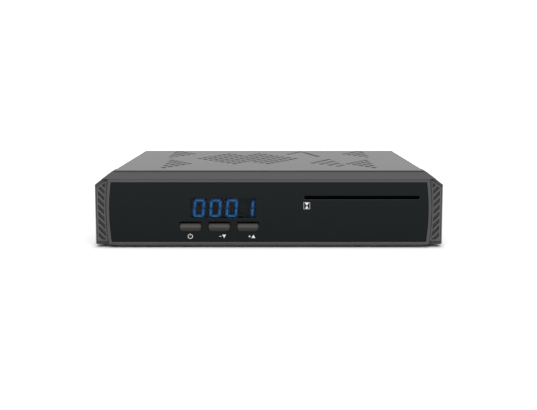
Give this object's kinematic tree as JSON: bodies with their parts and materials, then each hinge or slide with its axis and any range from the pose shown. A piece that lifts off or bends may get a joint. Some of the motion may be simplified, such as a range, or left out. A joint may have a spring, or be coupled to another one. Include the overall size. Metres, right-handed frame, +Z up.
{
  "type": "satellite tv receiver",
  "caption": "Free-standing satellite TV receiver with folded metal case, perforated lid, black front with blue digits, push buttons, smart card slot and rear sockets.",
  "frame": {"origin": "centre of the bounding box at the level of the feet", "axes": "+X to the right seen from the front, +Y from the front to the rear sockets, +Z up"},
  "size_m": [0.17, 0.1262, 0.0375],
  "materials": {
    "lid_paint": "fine textured grey paint",
    "chassis_steel": "fine textured grey paint",
    "fascia_plastic": "satin dark grey moulding",
    "trim_plastic": "ribbed dark grey moulding",
    "panel_black": "smooth black",
    "window_smoke": "smoked",
    "button_plastic": "satin brown grey",
    "display_black": "black",
    "segment_glow": "glowing blue",
    "segment_dark": "unlit grey",
    "board_green": "solder resist",
    "black_plastic": "moulded black",
    "white_plastic": "moulded off-white",
    "orange_plastic": "moulded orange",
    "chip_epoxy": "moulded epoxy",
    "heatsink_black": "extruded",
    "tin_steel": "tinned",
    "nickel": "nickel plated",
    "gold_contact": "gold flashed",
    "screw_steel": "blackened",
    "capacitor_sleeve": "can with printed sleeve",
    "ribbon_white": "flat cable",
    "foot_rubber": "moulded rubber"
  },
  "bodies": {
    "case": {"top_cover": "lid_paint", "chassis_base": "chassis_steel", "cover_screws": "screw_steel", "fascia_frame": "fascia_plastic", "fascia_screws": "screw_steel", "left_cheek_trim": "trim_plastic", "right_cheek_trim": "trim_plastic", "front_panel": "panel_black", "display_window": "window_smoke", "display_body": "display_black", "segments_lit": "segment_glow", "segments_unlit": "segment_dark", "front_board": "board_green", "front_board_screws": "screw_steel", "infrared_receiver": "black_plastic", "key_switch_bodies": "black_plastic", "ribbon_cable": "ribbon_white", "front_ribbon_header": "white_plastic", "main_ribbon_header": "white_plastic", "main_board": "board_green", "board_screws": "tin_steel", "processor": "chip_epoxy", "heatsink": "heatsink_black", "memory_chips": "chip_epoxy", "small_chips": "chip_epoxy", "filter_capacitors": "capacitor_sleeve", "power_inductors": "chip_epoxy", "crystal": "tin_steel", "tuner_can": "tin_steel", "lnb_input_connector": "nickel", "loop_output_connector": "nickel", "f_insulators": "white_plastic", "hdmi_socket": "tin_steel", "hdmi_tongue": "black_plastic", "usb_socket": "tin_steel", "usb_tongue": "black_plastic", "scart_socket": "black_plastic", "scart_contacts": "gold_contact", "digital_audio_jack": "nickel", "audio_jack_insulator": "orange_plastic", "dc_inlet": "black_plastic", "dc_inlet_pin": "nickel", "card_reader_body": "black_plastic", "card_reader_contacts": "gold_contact", "card_board": "board_green", "card_board_pillars": "tin_steel", "card_board_header": "black_plastic", "foot_front_left": "foot_rubber", "foot_front_right": "foot_rubber", "foot_rear_left": "foot_rubber", "foot_rear_right": "foot_rubber"},
    "power_key": {"power_button": "button_plastic"},
    "power_switch": {"power_plunger": "black_plastic"},
    "channel_down_key": {"channel_down_button": "button_plastic"},
    "channel_down_switch": {"channel_down_plunger": "black_plastic"},
    "channel_up_key": {"channel_up_button": "button_plastic"},
    "channel_up_switch": {"channel_up_plunger": "black_plastic"}
  },
  "joints": [
    {"name": "power_press", "type": "slide", "parent": "case", "child": "power_key", "axis": [0, 1, 0], "range_m": [0, 0.0004], "stiffness_N_per_m": 800, "springref_m": -0.0016},
    {"name": "power_plunge", "type": "slide", "parent": "case", "child": "power_switch", "axis": [0, 1, 0], "range_m": [0, 0.0004]},
    {"name": "channel_down_press", "type": "slide", "parent": "case", "child": "channel_down_key", "axis": [0, 1, 0], "range_m": [0, 0.0004], "stiffness_N_per_m": 800, "springref_m": -0.0016},
    {"name": "channel_down_plunge", "type": "slide", "parent": "case", "child": "channel_down_switch", "axis": [0, 1, 0], "range_m": [0, 0.0004]},
    {"name": "channel_up_press", "type": "slide", "parent": "case", "child": "channel_up_key", "axis": [0, 1, 0], "range_m": [0, 0.0004], "stiffness_N_per_m": 800, "springref_m": -0.0016},
    {"name": "channel_up_plunge", "type": "slide", "parent": "case", "child": "channel_up_switch", "axis": [0, 1, 0], "range_m": [0, 0.0004]}
  ],
  "couplings": [
    {"joint": "power_plunge", "follows": "power_press", "ratio": 1},
    {"joint": "channel_down_plunge", "follows": "channel_down_press", "ratio": 1},
    {"joint": "channel_up_plunge", "follows": "channel_up_press", "ratio": 1}
  ]
}
